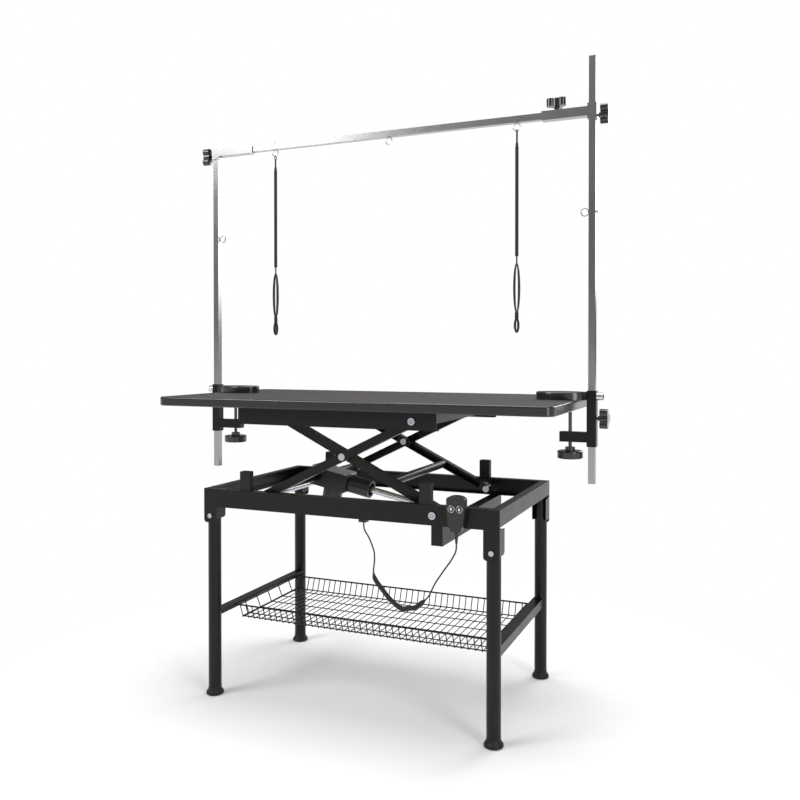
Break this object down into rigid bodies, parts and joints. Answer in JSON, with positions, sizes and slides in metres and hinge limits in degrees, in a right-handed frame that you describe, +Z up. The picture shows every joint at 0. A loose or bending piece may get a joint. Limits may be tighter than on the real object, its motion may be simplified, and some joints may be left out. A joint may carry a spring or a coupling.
{
  "type": "electric grooming table",
  "caption": "Electric scissor-lift grooming table with a matted top, clamped overhead bar with grooming loops, wire basket and a hand control on a curly cable.",
  "frame": {"origin": "on the floor, under the centre of the whole outline without the cable", "axes": "+X along the table length to the right seen from the hand control side, +Y from front to back, +Z up"},
  "size_m": [1.339, 0.6, 1.833],
  "materials": {
    "black_coat": "fine textured powder coat, low sheen",
    "black_rubber": "moulded rubber",
    "dark_steel": "zinc plated steel",
    "table_wood": "plywood board, hidden by the edge band and mat",
    "edge_band": "black edging with a soft highlight",
    "ribbed_mat": "grey brown ribbed rubber",
    "motor_plastic": "black plastic",
    "silver_cover": "satin aluminium",
    "bright_post": "bright satin plated tube",
    "chrome_fittings": "plated fittings",
    "black_knob": "glossy moulded plastic",
    "nylon_loop": "woven nylon strap",
    "handset_plastic": "black plastic",
    "button_plastic": "grey button",
    "cable_jacket": "cable jacket"
  },
  "bodies": {
    "base": {"base_rail_front": "black_coat", "base_rail_rear": "black_coat", "base_side_rails": "black_coat", "legs": "black_coat", "leg_brackets": "black_coat", "feet": "black_rubber", "leg_bolts": "dark_steel", "stretchers": "black_coat", "wire_basket": "black_coat", "cross_beam": "black_coat", "rod_bracket": "black_coat", "lowering_stops": "black_rubber", "handset_front": "handset_plastic", "handset_rear": "handset_plastic", "handset_relief": "cable_jacket", "cable_right": "cable_jacket", "cable_curly": "cable_jacket", "cable_left": "cable_jacket", "cable_socket": "handset_plastic", "base_pivot_bolts": "dark_steel"},
    "button_up": {"button_up": "button_plastic"},
    "button_down": {"button_down": "button_plastic"},
    "inner_arms": {"inner_arm_front": "black_coat", "inner_arm_rear": "black_coat", "inner_arm_tube": "black_coat"},
    "outer_arms": {"outer_arm_front": "black_coat", "outer_arm_rear": "black_coat", "outer_arm_tube": "black_coat", "centre_pivot_bolts": "dark_steel"},
    "platform": {"top_rail_front": "black_coat", "top_rail_rear": "black_coat", "top_cross_members": "black_coat", "table_board": "table_wood", "table_edge": "edge_band", "table_mat": "ribbed_mat", "top_pivot_bolts": "dark_steel", "clamp_frame_left": "black_coat", "clamp_frame_right": "black_coat", "clamp_blocks": "black_knob", "clamp_bolts": "chrome_fittings"},
    "lower_rollers": {"lower_rollers": "dark_steel"},
    "upper_rollers": {"upper_rollers": "dark_steel"},
    "actuator": {"actuator_housing": "motor_plastic", "actuator_cover": "silver_cover", "actuator_motor": "motor_plastic"},
    "actuator_rod": {"actuator_rod": "silver_cover"},
    "post_left": {"post_left": "bright_post"},
    "post_right": {"post_right": "bright_post"},
    "crossbar": {"bar_collar_left": "bright_post", "bar_collar_right": "bright_post", "bar_tube": "bright_post", "bar_rings": "chrome_fittings"},
    "bar_knob_left": {"bar_knob_left": "black_knob"},
    "bar_knob_right": {"bar_knob_right": "black_knob"},
    "bar_knob_top": {"bar_knob_top": "black_knob"},
    "post_knob_right": {"post_knob_right": "black_knob"},
    "clamp_screw_left": {"clamp_screw_left": "black_knob"},
    "clamp_screw_right": {"clamp_screw_right": "black_knob"},
    "loop_left": {"grooming_loop_left": "nylon_loop"},
    "loop_right": {"grooming_loop_right": "nylon_loop"}
  },
  "joints": [
    {"name": "lift", "type": "hinge", "parent": "base", "child": "inner_arms", "pos_m": [0.2675, 0, 0.5855], "axis": [0, 1, 0], "range_deg": [-14.9, 20]},
    {"name": "outer_arm_pivot", "type": "hinge", "parent": "inner_arms", "child": "outer_arms", "pos_m": [-0.01247, 0, 0.72205], "axis": [0, 1, 0], "range_deg": [-41, 31]},
    {"name": "platform_pivot", "type": "hinge", "parent": "outer_arms", "child": "platform", "pos_m": [0.20809, 0, 0.82963], "axis": [0, 1, 0], "range_deg": [-15.5, 20.5]},
    {"name": "actuator_pivot", "type": "hinge", "parent": "outer_arms", "child": "actuator", "pos_m": [-0.20572, 0, 0.6278], "axis": [0, 1, 0], "range_deg": [-20.5, 27.5]},
    {"name": "rod_pivot", "type": "hinge", "parent": "base", "child": "actuator_rod", "pos_m": [0.2455, 0, 0.535], "axis": [0, 1, 0], "range_deg": [-5.5, 7.5]},
    {"name": "lower_roll", "type": "hinge", "parent": "outer_arms", "child": "lower_rollers", "pos_m": [-0.29245, 0, 0.5855], "axis": [0, 1, 0], "continuous": true},
    {"name": "upper_roll", "type": "hinge", "parent": "inner_arms", "child": "upper_rollers", "pos_m": [-0.23304, 0, 0.82963], "axis": [0, 1, 0], "continuous": true},
    {"name": "post_left_height", "type": "slide", "parent": "platform", "child": "post_left", "axis": [0, 0, 1], "range_m": [-0.05, 0.05]},
    {"name": "post_right_height", "type": "slide", "parent": "platform", "child": "post_right", "axis": [0, 0, 1], "range_m": [-0.05, 0.05]},
    {"name": "crossbar_height", "type": "slide", "parent": "post_left", "child": "crossbar", "axis": [0, 0, 1], "range_m": [-0.12, 0.06]},
    {"name": "bar_knob_left_turn", "type": "hinge", "parent": "crossbar", "child": "bar_knob_left", "pos_m": [-0.6375, 0.035, 1.669], "axis": [-1, 0, 0], "continuous": true},
    {"name": "bar_knob_right_turn", "type": "hinge", "parent": "crossbar", "child": "bar_knob_right", "pos_m": [0.6375, 0.035, 1.669], "axis": [1, 0, 0], "continuous": true},
    {"name": "bar_knob_top_turn", "type": "hinge", "parent": "crossbar", "child": "bar_knob_top", "pos_m": [0.5245, 0.035, 1.694], "axis": [0, 0, 1], "continuous": true},
    {"name": "post_knob_right_turn", "type": "hinge", "parent": "platform", "child": "post_knob_right", "pos_m": [0.6375, 0.035, 0.829], "axis": [1, 0, 0], "continuous": true},
    {"name": "clamp_left_open", "type": "slide", "parent": "platform", "child": "clamp_screw_left", "axis": [0, 0, 1], "range_m": [-0.012, 0]},
    {"name": "clamp_right_open", "type": "slide", "parent": "platform", "child": "clamp_screw_right", "axis": [0, 0, 1], "range_m": [-0.012, 0]},
    {"name": "loop_left_swing", "type": "hinge", "parent": "crossbar", "child": "loop_left", "pos_m": [-0.3975, 0.035, 1.6489], "axis": [1, 0, 0], "range_deg": [-60, 60]},
    {"name": "loop_right_swing", "type": "hinge", "parent": "crossbar", "child": "loop_right", "pos_m": [0.4085, 0.035, 1.6489], "axis": [1, 0, 0], "range_deg": [-60, 60]},
    {"name": "button_up_press", "type": "slide", "parent": "base", "child": "button_up", "axis": [0, 1, 0], "range_m": [0, 0.0012], "stiffness_N_per_m": 400},
    {"name": "button_down_press", "type": "slide", "parent": "base", "child": "button_down", "axis": [0, 1, 0], "range_m": [0, 0.0012], "stiffness_N_per_m": 400}
  ],
  "couplings": [
    {"joint": "outer_arm_pivot", "follows": "lift", "ratio": -2},
    {"joint": "platform_pivot", "follows": "lift", "ratio": 1},
    {"joint": "actuator_pivot", "follows": "lift", "ratio": 1.31},
    {"joint": "rod_pivot", "follows": "lift", "ratio": 0.31}
  ]
}
